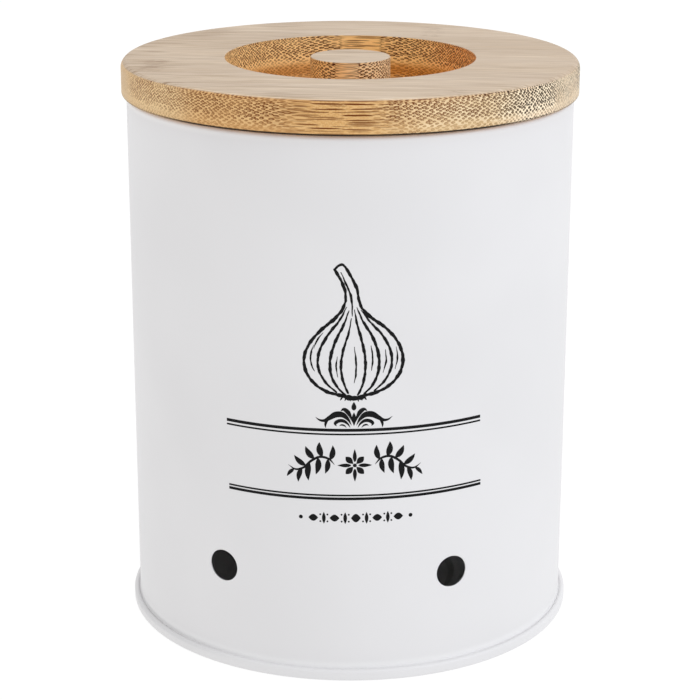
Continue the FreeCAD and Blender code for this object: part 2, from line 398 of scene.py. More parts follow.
# ------------------------------------------------------------------ node trees
class Num:
    """A number in a node tree, with arithmetic."""

    def __init__(self, tree, value):
        self.t, self.v = tree, value

    def _m(self, op, *others, clamp=False):
        n = self.t.nodes.new("ShaderNodeMath")
        n.operation = op
        n.use_clamp = clamp
        for sock, x in zip(n.inputs, (self,) + others):
            put(self.t, sock, x)
        return Num(self.t, n.outputs[0])

    def __add__(self, o): return self._m("ADD", o)
    __radd__ = __add__
    def __sub__(self, o): return self._m("SUBTRACT", o)
    def __rsub__(self, o): return Num(self.t, o)._m("SUBTRACT", self)
    def __mul__(self, o): return self._m("MULTIPLY", o)
    __rmul__ = __mul__
    def __truediv__(self, o): return self._m("DIVIDE", o)
    def floor(self): return self._m("FLOOR")
    def fract(self): return self._m("FRACT")
    def abs(self): return self._m("ABSOLUTE")
    def sin(self): return self._m("SINE")
    def sqrt(self): return self._m("SQRT")
    def power(self, o): return self._m("POWER", o)
    def max(self, o): return self._m("MAXIMUM", o)
    def min(self, o): return self._m("MINIMUM", o)
    def clamp(self): return self._m("ADD", 0.0, clamp=True)

    def step(self, lo, hi, a=0.0, b=1.0):
        """Smooth step from a at lo to b at hi."""
        n = self.t.nodes.new("ShaderNodeMapRange")
        n.interpolation_type = "SMOOTHSTEP"
        if lo > hi:
            lo, hi, a, b = hi, lo, b, a
        put(self.t, n.inputs["Value"], self)
        for name, x in (("From Min", lo), ("From Max", hi), ("To Min", a), ("To Max", b)):
            n.inputs[name].default_value = x
        return Num(self.t, n.outputs["Result"])


def put(tree, sock, x):
    if isinstance(x, Num):
        x = x.v
    if isinstance(x, bpy.types.NodeSocket):
        tree.links.new(x, sock)
    elif isinstance(x, (tuple, list)) and len(x) == 3 and sock.type == "RGBA":
        sock.default_value = (*x, 1.0)
    else:
        sock.default_value = x


def combine(t, x, y, z):
    n = t.nodes.new("ShaderNodeCombineXYZ")
    for sock, v in zip(n.inputs, (x, y, z)):
        put(t, sock, v)
    return n.outputs[0]


def noise(t, vec, scale=1.0, detail=2.0, rough=0.5, distortion=0.0):
    n = t.nodes.new("ShaderNodeTexNoise")
    put(t, n.inputs["Vector"], vec)
    n.inputs["Scale"].default_value = scale
    n.inputs["Detail"].default_value = detail
    n.inputs["Roughness"].default_value = rough
    n.inputs["Distortion"].default_value = distortion
    return Num(t, n.outputs["Fac"])


def voronoi(t, vec, randomness, dims="2D", feature="F1"):
    n = t.nodes.new("ShaderNodeTexVoronoi")
    n.voronoi_dimensions = dims
    n.feature = feature
    put(t, n.inputs["Vector"], vec)
    n.inputs["Scale"].default_value = 1.0
    n.inputs["Randomness"].default_value = randomness
    return Num(t, n.outputs["Distance"]), n.outputs["Color"]


def mixc(t, fac, a, b, mode="MIX"):
    n = t.nodes.new("ShaderNodeMix")
    n.data_type = "RGBA"
    n.blend_type = mode
    n.clamp_factor = True
    put(t, n.inputs[0], fac)
    put(t, n.inputs[6], a)
    put(t, n.inputs[7], b)
    return n.outputs[2]


def split(t, vec):
    n = t.nodes.new("ShaderNodeSeparateXYZ")
    put(t, n.inputs[0], vec)
    return [Num(t, o) for o in n.outputs]


def scaled(t, sock, k):
    n = t.nodes.new("ShaderNodeVectorMath")
    n.operation = "SCALE"
    put(t, n.inputs[0], sock)
    n.inputs["Scale"].default_value = k
    return n.outputs[0]


def bump(t, height, strength, distance, normal=None):
    n = t.nodes.new("ShaderNodeBump")
    n.inputs["Strength"].default_value = strength
    n.inputs["Distance"].default_value = distance
    put(t, n.inputs["Height"], height)
    if normal is not None:
        put(t, n.inputs["Normal"], normal)
    return n.outputs[0]


def material(name):
    m = bpy.data.materials.new(name)
    m.use_nodes = True
    t = m.node_tree
    t.nodes.clear()
    out = t.nodes.new("ShaderNodeOutputMaterial")
    b = t.nodes.new("ShaderNodeBsdfPrincipled")
    t.links.new(b.outputs[0], out.inputs["Surface"])
    return m, t, b


def object_mm(t):
    n = t.nodes.new("ShaderNodeTexCoord")
    return scaled(t, n.outputs["Object"], 1000.0)


def lin(r, g, b):
    """A linear colour from 0-255 sRGB."""
    return tuple(((c / 255) / 12.92) if c <= 10.3 else (((c / 255) + 0.055) / 1.055) ** 2.4 for c in (r, g, b))


# ------------------------------------------------------------------ white powder coat
def paint_material():
    m, t, b = material("white_powder_coat")
    p = object_mm(t)
    broad = noise(t, p, 0.02, 2.0, 0.5)
    peel = noise(t, p, 0.75, 2.0, 0.45)
    grain = noise(t, p, 5.0, 2.0, 0.5)
    tone = mixc(t, broad.step(0.35, 0.65), lin(219, 218, 219), lin(222, 221, 222))
    x, y, z = split(t, p)
    groove_painted_light = z.step(SEAM_H + 3.0, SEAM_H + 0.1)                         # painted light: the wall just above the seam is lightened to cancel the shade the seam's top throws into the groove
    out_r = (x * x + y * y).sqrt()
    groove_painted_light = groove_painted_light * groove_painted_light * z.step(SEAM_H - 0.1, SEAM_H + 0.1) * out_r.step(CAN_R - 0.4, CAN_R - 0.1) * out_r.step(CAN_R + 0.42, CAN_R + 0.30)
    tone = mixc(t, groove_painted_light * 0.46, tone, lin(250, 250, 250))
    # painted shade, not dust: the wall and the seam's top about the groove are darkened towards the left (-X), where
    # the groove lies in shade
    dust = z.step(SEAM_H + 1.3, SEAM_H + 0.1) * z.step(1.9, 2.7) * out_r.step(CAN_R - 0.4, CAN_R - 0.1)
    tone = mixc(t, dust * x.step(-18.0, -52.0, 0.0, 0.26), tone, lin(176, 176, 178))
    under = z.step(CAN_TOP - 2.7, CAN_TOP - 1.2)                      # painted light: the wall close under the board is lightened, most at the left, to thin the board's shadow there
    tone = mixc(t, under * x.step(-60.0, 0.0, 0.32, 0.04), tone, lin(252, 252, 252))
    down = y.step(20.0, 30.0) * z.step(weld_low, weld_low + 0.6) * z.step(weld_high, weld_high - 0.6)
    weld = x.abs().step(WELD_W / 2 + 0.12, WELD_W / 2 - 0.12) * down  # thinner on the weld, thinnest over its two edges
    rim = (x.abs() - WELD_W / 2).abs().step(0.20, 0.04) * down
    tone = mixc(t, weld * 0.35, tone, lin(206, 206, 207))
    tone = mixc(t, rim * grain.step(0.3, 0.6, 0.35, 0.60), tone, lin(178, 178, 180))
    put(t, b.inputs["Base Color"], tone)
    put(t, b.inputs["Roughness"], grain.step(0.3, 0.7, 0.40, 0.47))
    b.inputs["IOR"].default_value = 1.46
    put(t, b.inputs["Normal"], bump(t, peel * 0.75 + grain * 0.25, 0.25, 0.00003))
    return m


# ------------------------------------------------------------------ bamboo, cut from one solid block of strips
GRAIN_TURN = -5.0                                                     # degrees the grain is turned from X
STRIP_EDGES = (-45.4, -28.0, -10.3, 7.2, 20.0, 33.0, 50.5)            # glue lines of the upper ply, across the grain
STRIP_DOTS = (1.00, 1.00, 0.60, 0.95, 1.15, 1.00, 0.80, 0.90)         # how plainly each strip shows its bundles
STRIP_PALE = (0.45, 0.60, 0.75, 0.40, 0.25, 0.50, 0.30, 0.60)
STRIP_SIZE = (0.97, 0.94, 1.00, 0.84, 0.82, 0.93, 1.05, 0.98)         # how closely the bundles stand
PLY = 7.4                                                             # depth of the joint between the two plies
NODES = ((-50.0, 1.0, 1.0), (19.5, 1.0, 0.75), (31.0, 1.0, 0.6))      # along the grain, in which strips: see below
NODE_STRIPS = ((-28.0, -10.3), (33.0, 50.5), (-62.0, -45.4))


def bamboo_material(name, top, bottom, ply):
    """Strips lie side by side along the grain; each holds fibre bundles that run along it. Sawn across, a bundle is a
    dark ring or dot in pale pith, fine and close near the strip's skin side and wider below; cut along, it is a streak."""
    m, t, b = material(name)
    p = object_mm(t)
    x, y, z = split(t, p)
    ca, sa = cos(radians(GRAIN_TURN)), sin(radians(GRAIN_TURN))
    gx = x * ca + y * sa
    gy = y * ca - x * sa
    radius = (x * x + y * y).sqrt()
    over = lambda v, e: v._m("GREATER_THAN", e)

    def table(values):
        out = None
        for e, lo_, hi_ in zip(STRIP_EDGES, values, values[1:]):
            term = over(gy, e) * (hi_ - lo_)
            out = term + values[0] if out is None else out + term
        return out

    upper = 1.0 - over(top - z, ply)                                  # 1 in the upper ply
    k = table(list(range(len(STRIP_EDGES) + 1)))
    k2 = ((gy + 2.0) / 17.2).floor() + 40.0
    kk = k * upper + k2 * (1.0 - upper)
    wn = t.nodes.new("ShaderNodeTexWhiteNoise")
    wn.noise_dimensions = "1D"
    put(t, wn.inputs["W"], kk + 0.5)
    h1 = Num(t, wn.outputs["Value"])
    h2, h3, h4 = split(t, wn.outputs["Color"])
    line = None                                                       # glue lines
    for e in STRIP_EDGES:
        near = (gy - e).abs().step(0.10, 0.02)
        line = near if line is None else line.max(near)
    line = line * upper

    # bundles wander a little along the strip
    slow = combine(t, gx / 40.0 + h1 * 31.0, gy / 6.0, z / 3.5)
    w1 = noise(t, slow, 1.0, 2.0, 0.55) - 0.5
    slow2 = combine(t, gx / 34.0 + h2 * 57.0, gy / 5.0 + 11.0, z / 3.0 + 5.0)
    w2 = noise(t, slow2, 1.0, 2.0, 0.55) - 0.5
    close = table(STRIP_SIZE) * (1.24 + (gx.step(-8.0, 8.0, 1.20, 1.07) - 1.24) * radius.step(44.0, 52.0))
    bend = gx.step(2.0, 36.0, 0.0, 4.2) + gx.step(-38.0, -4.0, 4.2, 0.0)
    yy = gy * close + w1 * 2.0 + h1 * 90.0 + bend * radius.step(44.0, 52.0)
    depth = top - z
    local = depth * upper + (top - bottom - depth) * (1.0 - upper)    # from the strip's skin side
    zz = local + w2 * 0.9
    along = gx.step(-50.0, 5.0, 0.62, 0.84) + gx.step(38.0, 50.0, 0.0, 0.66)                           # the bundles grow plainer along the strips

    def bundles(pitch, squeeze, rand, r0, r1, c0, c1, off):
        u, v = yy / pitch + off, zz * close * squeeze / pitch + h2 * 50.0
        c45 = 0.7071
        vec = combine(t, (u + v) * c45, (v - u) * c45, 0.0)
        dist, col = voronoi(t, vec, rand)
        ch = split(t, col)
        size = ch[0].step(0.0, 1.0, 0.86, 1.16)
        dd = dist / size
        body = dd.step(r1, r0)
        here, mid_ = split(t, vec), split(t, col.node.outputs["Position"])
        hx, hy = here[0] - mid_[0] - 0.078, here[1] - mid_[1] - 0.007
        heart = ((hx * hx + hy * hy).sqrt() / size).step(c1, c0)
        halo = dd.step(r1 - 0.02, r1 + 0.12)
        return body, heart, halo, ch[1]

    fine = bundles(0.54, 1.15, 0.42, 0.31, 0.40, 0.00, 0.01, 0.0)
    mid = bundles(0.72, 1.12, 0.30, 0.34, 0.42, 0.13, 0.24, 7.3)
    coarse = bundles(0.80, 1.00, 0.38, 0.31, 0.39, 0.13, 0.23, 3.1)
    in_fine = zz.step(1.25, 0.75)
    in_coarse = zz.step(4.2, 5.4)
    in_mid = (1.0 - in_fine) * (1.0 - in_coarse)
    fade = zz.step(5.0, 7.6, 1.0, 0.22)
    body = fine[0] * in_fine + mid[0] * in_mid + coarse[0] * in_coarse * fade
    heart = mid[1] * in_mid + coarse[1] * in_coarse * fade
    halo = fine[2] * in_fine * 0.5 + mid[2] * in_mid + coarse[2] * in_coarse
    # where the face runs along the grain the bundles lie open as long thin streaks
    lie = ((gx - radius.step(44.0, 52.0, 0.0, 2.2)).abs() / radius.max(1.0)).step(0.31, 0.09)
    lay = z / 0.39 + w2 * 1.2
    sdist, scol = voronoi(t, combine(t, gx / 10.0 + h2 * 9.0, lay, 0.0), 0.90)
    sch = split(t, scol)
    vein = (sdist / sch[0].step(0.0, 1.0, 0.55, 1.15)).step(0.46, 0.33)
    body = body * (1.0 - lie) + vein * lie * radius.step(44.0, 52.0, 0.74, 0.86)
    heart = heart * (1.0 - lie)
    halo = halo * (1.0 - lie * 0.5)
    patch = noise(t, combine(t, gx / 26.0 + h3 * 20.0, gy / 4.5, z / 2.2), 1.0, 2.0, 0.5)
    plain = table(STRIP_DOTS) * upper + (1.0 - upper) * 0.50
    strength = patch.step(0.30, 0.70, 0.60, 1.0) * plain * along * gx.step(54.5, 55.4, 1.0, 0.50) * gx.step(-57.5, -54.0, 0.35, 1.0)
    dots = body * strength
    pepper = noise(t, combine(t, gx / 9.0, yy * 3.4, zz * 3.4), 1.0, 2.0, 0.6)

    # fine long fibres between them
    fibre = noise(t, combine(t, gx / 22.0 + h1 * 9.0, (gy + w1 * 0.5) * 2.2, z * 2.2), 1.0, 3.0, 0.6)
    fibre2 = noise(t, combine(t, gx / 9.0 + h2 * 9.0, (gy + w1 * 0.5) * 5.5, z * 5.5), 1.0, 2.0, 0.55)
    ty = gy + w1 * 0.5 + h1 * 90.0                                    # the sanded face shows them nearly straight
    broad = noise(t, combine(t, gx / 60.0 + h3 * 9.0, gy / 8.0, z / 5.0), 1.0, 2.0, 0.5)
    bands = noise(t, combine(t, gx / 32.0 + h2 * 5.0, ty / 1.0, z / 1.5), 1.0, 3.0, 0.6)

    # sawn across and sanded: pale pith, dark bundles
    outer = radius.step(44.0, 52.0)
    knob = radius.step(24.0, 18.0)
    pale = table(STRIP_PALE)
    # painted light: over the strips' own tones, the board's side grows paler and whiter towards +X, standing in for the
    # cool light from the right
    rim_tone_painted_light = mixc(t, gx.step(-57.5, -54.0), lin(218, 192, 152), lin(228, 198, 151))
    rim_tone_painted_light = mixc(t, gx.step(-42.0, -32.0), rim_tone_painted_light, lin(213, 166, 109))
    rim_tone_painted_light = mixc(t, gx.step(-14.0, 0.0), rim_tone_painted_light, lin(221, 176, 115))
    rim_tone_painted_light = mixc(t, gx.step(4.0, 34.0), rim_tone_painted_light, lin(224, 196, 150))
    rim_tone_painted_light = mixc(t, gx.step(38.0, 50.0), rim_tone_painted_light, lin(252, 230, 199))
    rim_tone_painted_light = mixc(t, gx.step(54.3, 55.4), rim_tone_painted_light, lin(229, 212, 184))
    # painted shade: the recess wall darkens and turns more orange towards +X, where it faces away from the light from
    # the right; below the ply joint the lower ply's own tone is made darker still, as painted shade deep in the recess
    in_base = mixc(t, gx.step(-18.0, 18.0), lin(255, 216, 150), lin(255, 208, 132))
    in_low = mixc(t, gx.step(-18.0, 18.0), lin(208, 150, 78), lin(210, 138, 48))
    in_base = mixc(t, gx.step(14.0, 32.0), in_base, lin(247, 154, 69))
    in_base = mixc(t, depth.step(ply - 1.3, ply + 1.5), in_base, in_low)
    # painted light: the knob's side is paler towards +X, where it faces the light from the right
    knob_tone_painted_light = mixc(t, gx.step(-9.0, 8.0), lin(248, 190, 114), lin(253, 224, 180))
    in_base = mixc(t, knob, in_base, knob_tone_painted_light)
    base = mixc(t, outer, in_base, rim_tone_painted_light)
    base = mixc(t, (1.0 - pale) * outer.step(0.0, 1.0, 0.06, 0.16), base, lin(196, 142, 80))
    base = mixc(t, broad.step(0.3, 0.7, 0.0, 0.18) * outer.step(0.0, 1.0, 0.5, 1.0), base, lin(196, 142, 80))
    base = mixc(t, zz.step(0.9, 0.2, 0.0, 0.40) * upper, base, lin(168, 112, 56))         # denser, darker skin side
    base = mixc(t, pepper.step(0.42, 0.72, 0.0, 0.40) * outer.step(0.0, 1.0, 0.35, 1.0), base, lin(160, 108, 54))
    # the pale halo tone also grows paler towards +X: painted light from the right
    halo_tone_painted_light = mixc(t, gx.step(0.0, 40.0), lin(246, 214, 158), lin(250, 236, 206))
    base = mixc(t, halo * strength * outer * 0.60, base, halo_tone_painted_light)
    base = mixc(t, halo * strength * (1.0 - outer) * 0.50, base, lin(255, 220, 158))
    dark = mixc(t, gx.step(28.0, 50.0) * outer, mixc(t, outer, lin(76, 27, 0), lin(106, 51, 0)), lin(14, 7, 0))
    side_col = mixc(t, dots * outer.step(0.0, 1.0, 1.76, 1.62), base, dark)
    # the bundles' light heart tone grows paler towards +X: painted light from the right
    heart_tone_painted_light = mixc(t, gx.step(0.0, 30.0) * outer, lin(226, 186, 128), lin(236, 210, 166))
    side_col = mixc(t, heart * strength * gx.step(40.0, 48.0, 0.78, 0.15) * outer.step(0.0, 1.0, 0.95, 1.0), side_col, heart_tone_painted_light)

    # sanded along the grain: pale, with streaks, and the culm's nodes as short dark wavy marks
    top_a, top_b = lin(197, 178, 157), lin(189, 169, 147)
    top_base = mixc(t, h3.step(0.1, 0.9), top_a, top_b)
    top_base = mixc(t, broad.step(0.35, 0.7, 0.0, 0.30), top_base, lin(203, 181, 153))
    worn = gx.step(35.0, -45.0, 0.46, 1.00) * noise(t, combine(t, gx / 30.0, gy / 9.0, 8.0), 1.0, 1.0, 0.5).step(0.30, 0.60, 0.35, 1.0)
    top_base = mixc(t, bands.step(0.50, 0.66, 0.0, 0.60) * worn, top_base, lin(166, 142, 116))
    top_base = mixc(t, bands.step(0.46, 0.30, 0.0, 0.50), top_base, lin(230, 214, 194))
    streak = noise(t, combine(t, gx / 20.0 + h1 * 5.0, ty / 0.60, 4.0), 1.0, 1.0, 0.5)
    top_base = mixc(t, streak.step(0.54, 0.63, 0.0, 0.95) * worn, top_base, lin(145, 120, 94))
    top_col = mixc(t, fibre.step(0.50, 0.72, 0.0, 0.42), top_base, lin(180, 153, 122))
    top_col = mixc(t, fibre2.step(0.52, 0.76, 0.0, 0.44), top_col, lin(160, 132, 102))
    for (at, _, weight), (e0, e1) in zip(NODES, NODE_STRIPS):
        inside = over(gy, e0) * (1.0 - over(gy, e1))
        bend = noise(t, combine(t, gy / 7.0, 3.0, at), 1.0, 1.0, 0.5) * 5.0 - 2.5
        band = (gx - at + bend).abs().step(4.2, 1.4) * inside
        marks = noise(t, combine(t, gx / 4.0, gy / 1.1 + w1 * 3.0, 2.0), 1.0, 2.0, 0.6, 0.8)
        top_col = mixc(t, band * marks.step(0.50, 0.60) * 0.55 * weight, top_col, lin(140, 114, 88))
        top_col = mixc(t, band * 0.08 * weight, top_col, lin(150, 122, 96))

    geo = t.nodes.new("ShaderNodeNewGeometry")
    nz = split(t, geo.outputs["Normal"])[2]
    # the sanded top's own paler tone, also laid over the upper part of the top fillet and further down it at the ends:
    # painted light where the fillet faces the light from above
    faces_up = (nz.abs() + gx.abs().step(30.0, 57.0, 0.0, 0.17)).step(0.77, 0.94)
    # painted highlight: the front of the top fillet is lightened where it catches the light
    crest_highlight = nz.step(0.62, 0.85) * nz.step(0.995, 0.95) * radius.step(56.0, 58.0) * gy.step(-40.0, -58.0)
    top_col = mixc(t, crest_highlight * 0.45, top_col, lin(238, 216, 186))
    floor_col = mixc(t, fibre.step(0.35, 0.7, 0.0, 0.6), lin(212, 160, 100), lin(184, 127, 70))
    floor_col = mixc(t, bands.step(0.50, 0.66, 0.0, 0.50), floor_col, lin(170, 112, 60))
    floor_col = mixc(t, streak.step(0.55, 0.65, 0.0, 0.60), floor_col, lin(150, 96, 50))
    flat_col = mixc(t, z.step(top - 4.0, top - 6.0) * over(z, bottom + 0.6), top_col, floor_col)
    col = mixc(t, faces_up, side_col, flat_col)
    gap_shadow_line = (z - LID_BOTTOM).abs().step(0.65, 0.53) * radius.step(58.0, 58.6)            # painted shadow: a dark line on the board's lower round edge, for the shaded gap between board and can
    gap_shadow_line = gap_shadow_line * nz.step(-0.97, -0.80) * gx.step(-50.0, -34.0, 0.45, 1.0) * gx.step(52.0, 38.0, 0.45, 1.0)
    col = mixc(t, gap_shadow_line * fibre.step(0.2, 0.5, 0.8, 0.98), col, lin(26, 15, 8))
    col = mixc(t, line * 0.22, col, lin(120, 84, 46))
    put(t, b.inputs["Base Color"], col)
    put(t, b.inputs["Roughness"], fibre2.step(0.3, 0.7, 0.46, 0.58))
    b.inputs["IOR"].default_value = 1.46
    b.inputs["Specular IOR Level"].default_value = 0.22
    hgt = fibre2 * 0.35 + fibre * 0.35 - dots * 0.6
    put(t, b.inputs["Normal"], bump(t, hgt, 0.35, 0.00008))
    return m


def silicone_material():
    m, t, b = material("milky_silicone")
    p = object_mm(t)
    cloud = noise(t, p, 0.12, 2.0, 0.5)
    dust = noise(t, p, 2.5, 3.0, 0.6)
    put(t, b.inputs["Base Color"], mixc(t, cloud.step(0.35, 0.65), lin(226, 228, 226), lin(233, 234, 231)))
    put(t, b.inputs["Roughness"], dust.step(0.3, 0.7, 0.42, 0.56))
    b.inputs["IOR"].default_value = 1.41
    b.inputs["Subsurface Weight"].default_value = 0.25
    b.inputs["Subsurface Radius"].default_value = (0.0012, 0.0011, 0.0010)
    b.inputs["Subsurface Scale"].default_value = 1.0
    put(t, b.inputs["Normal"], bump(t, dust, 0.2, 0.00002))
    return m


def ink_material():
    m, t, b = material("black_print")
    p = object_mm(t)
    wear = noise(t, p, 3.0, 3.0, 0.6)
    put(t, b.inputs["Base Color"], mixc(t, wear.step(0.35, 0.75), lin(12, 12, 13), lin(22, 22, 23)))
    put(t, b.inputs["Roughness"], wear.step(0.3, 0.7, 0.55, 0.68))
    b.inputs["IOR"].default_value = 1.36
    b.inputs["Specular IOR Level"].default_value = 0.22
    put(t, b.inputs["Normal"], bump(t, wear, 0.15, 0.00001))
    return m


def use(obj, mat):
    obj.data.materials.clear()
    obj.data.materials.append(mat)


paint = paint_material()
bamboo_board = bamboo_material("bamboo_board", LID_TOP, LID_BOTTOM - REBATE_H, PLY)
bamboo_plug = bamboo_material("bamboo_plug", LID_BOTTOM - REBATE_H, LID_BOTTOM - PLUG_H, 99.0)
silicone = silicone_material()
ink = ink_material()
use(can_body, paint)
use(can_bottom, paint)
use(lid_board, bamboo_board)
use(lid_plug, bamboo_plug)
use(seal_ring, silicone)
for node, mat in (("can_body", paint), ("can_bottom", paint), ("lid_board", bamboo_board), ("lid_plug", bamboo_plug), ("seal_ring", silicone)):
    use(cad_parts[node], mat)


# ------------------------------------------------------------------ print on the front
INK_OUT, INK_IN = 0.022, 0.030       # ink stands this far out of the paint, and its back is sunk this far in
PRINT_S, PRINT_Z, PRINT_TILT = 1.4, 60.0, 0.45


def on_wall(s, z, r):
    """A point of the flat print (arc length s from the front towards +X, height z), laid on the wall."""
    a = radians(PRINT_TILT)
    s, z = PRINT_S + (s - PRINT_S) * cos(a) - (z - PRINT_Z) * sin(a), PRINT_Z + (s - PRINT_S) * sin(a) + (z - PRINT_Z) * cos(a)
    return (r * sin(s / CAN_R), -r * cos(s / CAN_R), z)


def smooth_line(points, step=0.22):
    """Points along a centripetal Catmull-Rom curve through the given (s, z, width) points."""
    p = [np.array(q, float) for q in points]
    if len(p) == 2:
        k = max(1, int(np.linalg.norm(p[1][:2] - p[0][:2]) / step))
        return [tuple(p[0] + (p[1] - p[0]) * i / k) for i in range(k + 1)]
    p = [2 * p[0] - p[1]] + p + [2 * p[-1] - p[-2]]
    out = []
    for a, b, c, d in zip(p, p[1:], p[2:], p[3:]):
        t = [0.0]
        for u, v in ((a, b), (b, c), (c, d)):
            t.append(t[-1] + max(1e-4, float(np.linalg.norm((v - u)[:2]))) ** 0.5)
        k = max(2, int(np.linalg.norm(c[:2] - b[:2]) / step))
        for i in range(k):
            x = t[1] + (t[2] - t[1]) * i / k
            a1 = (t[1] - x) / (t[1] - t[0]) * a + (x - t[0]) / (t[1] - t[0]) * b
            a2 = (t[2] - x) / (t[2] - t[1]) * b + (x - t[1]) / (t[2] - t[1]) * c
            a3 = (t[3] - x) / (t[3] - t[2]) * c + (x - t[2]) / (t[3] - t[2]) * d
            b1 = (t[2] - x) / (t[2] - t[0]) * a1 + (x - t[0]) / (t[2] - t[0]) * a2
            b2 = (t[3] - x) / (t[3] - t[1]) * a2 + (x - t[1]) / (t[3] - t[1]) * a3
            out.append(tuple((t[2] - x) / (t[2] - t[1]) * b1 + (x - t[1]) / (t[2] - t[1]) * b2))
    out.append(tuple(p[-2]))
    return out


class Print:
    """Strokes of changing width, each a closed solid of ink on the wall."""

    def __init__(self):
        self.verts, self.faces = [], []

    def ribbon(self, pts):
        """pts are (s, z, width) close together; a width near nothing makes a point."""
        n = len(pts)
        sides = []
        for i in range(n):
            a, b = pts[max(0, i - 1)], pts[min(n - 1, i + 1)]
            d = np.array([b[0] - a[0], b[1] - a[1]])
            d /= max(1e-9, float(np.linalg.norm(d)))
            w = max(0.02, pts[i][2]) / 2
            sides.append(((pts[i][0] - d[1] * w, pts[i][1] + d[0] * w), (pts[i][0] + d[1] * w, pts[i][1] - d[0] * w)))
        base = len(self.verts)
        for (l, r) in sides:
            for q in (l, r):
                self.verts.append(on_wall(q[0], q[1], CAN_R + INK_OUT))
                self.verts.append(on_wall(q[0], q[1], CAN_R - INK_IN))
        at = lambda i, j: base + 4 * i + j            # 0 left out, 1 left in, 2 right out, 3 right in
        for i in range(n - 1):
            self.faces += [[at(i, 0), at(i, 2), at(i + 1, 2), at(i + 1, 0)], [at(i, 1), at(i + 1, 1), at(i + 1, 3), at(i, 3)],
                           [at(i, 0), at(i + 1, 0), at(i + 1, 1), at(i, 1)], [at(i, 2), at(i, 3), at(i + 1, 3), at(i + 1, 2)]]
        self.faces += [[at(0, 0), at(0, 1), at(0, 3), at(0, 2)], [at(n - 1, 0), at(n - 1, 2), at(n - 1, 3), at(n - 1, 1)]]

    def stroke(self, points, width=None, rough=0.0, seed=0):
        pts = [(p[0], p[1], p[2] if len(p) > 2 else width) for p in points]
        line = smooth_line(pts)
        if rough:
            rnd = random.Random(seed)
            ph = [rnd.uniform(0, 6.28) for _ in range(6)]
            line = [(s + rough * 0.5 * sin(i * 0.55 + ph[0]), z + rough * 0.5 * sin(i * 0.47 + ph[1]),
                     w * (1 + 0.16 * sin(i * 0.36 + ph[2]) + 0.10 * sin(i * 0.91 + ph[3]))) for i, (s, z, w) in enumerate(line)]
        self.ribbon(self.ends(line))

    def ends(self, line):
        """Rounds both ends of a line that doesn't taper to a point."""
        out = list(line)
        for first in (True, False):
            p, q = (out[0], out[1]) if first else (out[-1], out[-2])
            w = p[2]
            if w < 0.12:
                continue
            d = np.array([p[0] - q[0], p[1] - q[1]])
            d /= max(1e-9, float(np.linalg.norm(d)))
            cap = [(p[0] + d[0] * w / 2 * sin(t), p[1] + d[1] * w / 2 * sin(t), w * cos(t)) for t in (0.5, 0.95, 1.3, 1.5)]
            out = (cap[::-1] + out) if first else (out + cap)
        return out

    def bar(self, s0, s1, z, width):
        n = int((s1 - s0) / 0.5)
        self.ribbon([(s0 + (s1 - s0) * i / n, z, width) for i in range(n + 1)])

    def dot(self, s, z, r, tall=None):
        tall = tall or r
        n = 14
        self.ribbon([(s + r * -cos(pi * i / n), z, 2 * tall * sin(pi * i / n)) for i in range(n + 1)])

    def leaf(self, a, b, width, bend=0.0, belly=0.45, tip=0.02):
        """A leaf from a to b, widest at belly, its rib bent sideways by bend."""
        ax, az, bx, bz = *a, *b
        dx, dz = bx - ax, bz - az
        length = hypot(dx, dz)
        nx, nz = -dz / length, dx / length
        n = max(10, int(length / 0.2))
        out = []
        for i in range(n + 1):
            u = i / n
            off = bend * sin(pi * u)
            e = math.log(0.5) / math.log(belly)
            w = width * sin(pi * u ** e) ** 0.9 if 0 < u < 1 else tip
            out.append((ax + dx * u + nx * off, az + dz * u + nz * off, max(w, tip)))
        self.ribbon(out)

    def build(self, name):
        obj = make(name, self.verts, self.faces, "can", "print_black", 30)
        use(obj, ink)
        return obj


def mirrored(points, s0):
    return [(2 * s0 - p[0], *p[1:]) for p in points]


# ---- the two pairs of rules
rules = Print()
rules.bar(-33.2, 35.8, 69.40, 0.82)
rules.bar(-33.2, 35.8, 68.27, 0.46)
rules.bar(-32.9, 36.2, 51.68, 0.47)
rules.bar(-32.9, 36.2, 50.76, 0.74)
rules.build("print_rules")

# ---- a garlic bulb drawn in line, of this part's own drawing
bulb = Print()
C = 1.2


def b_stroke(points, seed):
    bulb.stroke([(C + p[0], p[1], p[2] * 1.72) for p in points], rough=0.05, seed=seed)


# outline, left and right
b_stroke([(-1.9, 103.6, .34), (-2.7, 101.4, .46), (-4.6, 99.0, .52), (-8.0, 96.0, .50), (-11.0, 92.4, .46), (-12.5, 88.6, .48), (-12.1, 84.9, .50),
          (-9.9, 81.7, .46), (-6.6, 79.6, .50), (-2.6, 78.6, .56)], 1)
b_stroke([(1.3, 104.0, .34), (2.2, 101.6, .46), (4.4, 99.2, .52), (8.0, 96.4, .48), (11.1, 92.6, .46), (12.5, 88.4, .52), (11.9, 84.7, .52),
          (9.6, 81.6, .48), (6.2, 79.6, .50), (2.4, 78.6, .56)], 2)
# neck and cut stalk
b_stroke([(-1.9, 103.6, .40), (-2.0, 106.0, .46), (-3.2, 109.2, .44), (-4.6, 111.6, .40)], 3)
b_stroke([(1.3, 104.0, .40), (1.0, 106.4, .46), (-0.3, 109.4, .44), (-1.9, 112.3, .40)], 4)
b_stroke([(-4.6, 111.6, .36), (-3.6, 112.6, .34), (-2.6, 112.9, .34), (-1.9, 112.3, .40)], 5)
b_stroke([(-3.0, 110.9, .12), (-1.9, 108.2, .26), (-0.7, 105.2, .34), (-0.3, 102.4, .28), (-0.3, 99.6, .10)], 6)
